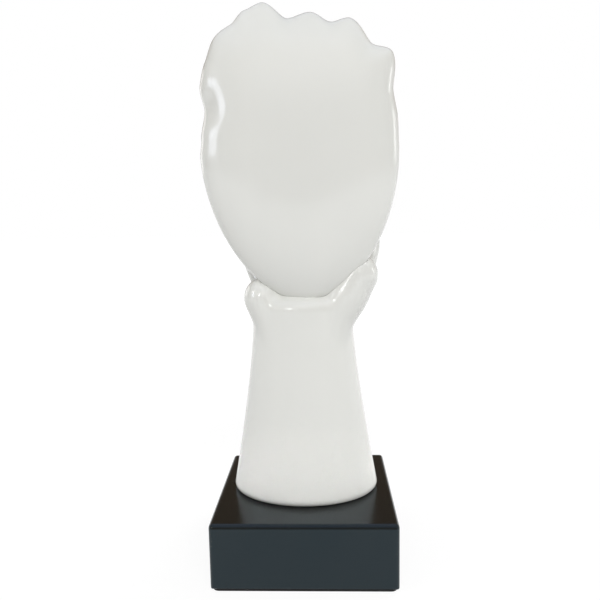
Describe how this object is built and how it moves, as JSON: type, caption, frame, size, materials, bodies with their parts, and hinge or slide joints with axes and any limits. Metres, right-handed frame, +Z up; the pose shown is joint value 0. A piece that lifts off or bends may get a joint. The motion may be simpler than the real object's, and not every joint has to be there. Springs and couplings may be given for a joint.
{
  "type": "face sculpture",
  "caption": "Cast white face with its chin resting in an upright hand, on a flared forearm and a square black plinth.",
  "frame": {"origin": "centre of the felt's underside, where the plinth stands", "axes": "+Z up through the plinth and the forearm; the face looks towards -Y, with the plinth's sides along X and Y"},
  "size_m": [0.0921, 0.085, 0.2624],
  "materials": {
    "gloss_resin": "gloss white painted cast resin",
    "lacquered_plinth": "satin black lacquer",
    "felt": "pressed felt",
    "plated_steel": "zinc plated",
    "plain_wood": "unfinished"
  },
  "bodies": {
    "root": {"plinth_block": "lacquered_plinth", "base_felt": "felt", "forearm_hand": "gloss_resin", "face_casting": "gloss_resin", "neck_dowel": "plated_steel", "arm_plug": "plain_wood", "fixing_screw_left": "plated_steel", "fixing_screw_right": "plated_steel", "washer_left": "plated_steel", "washer_right": "plated_steel"}
  },
  "joints": []
}
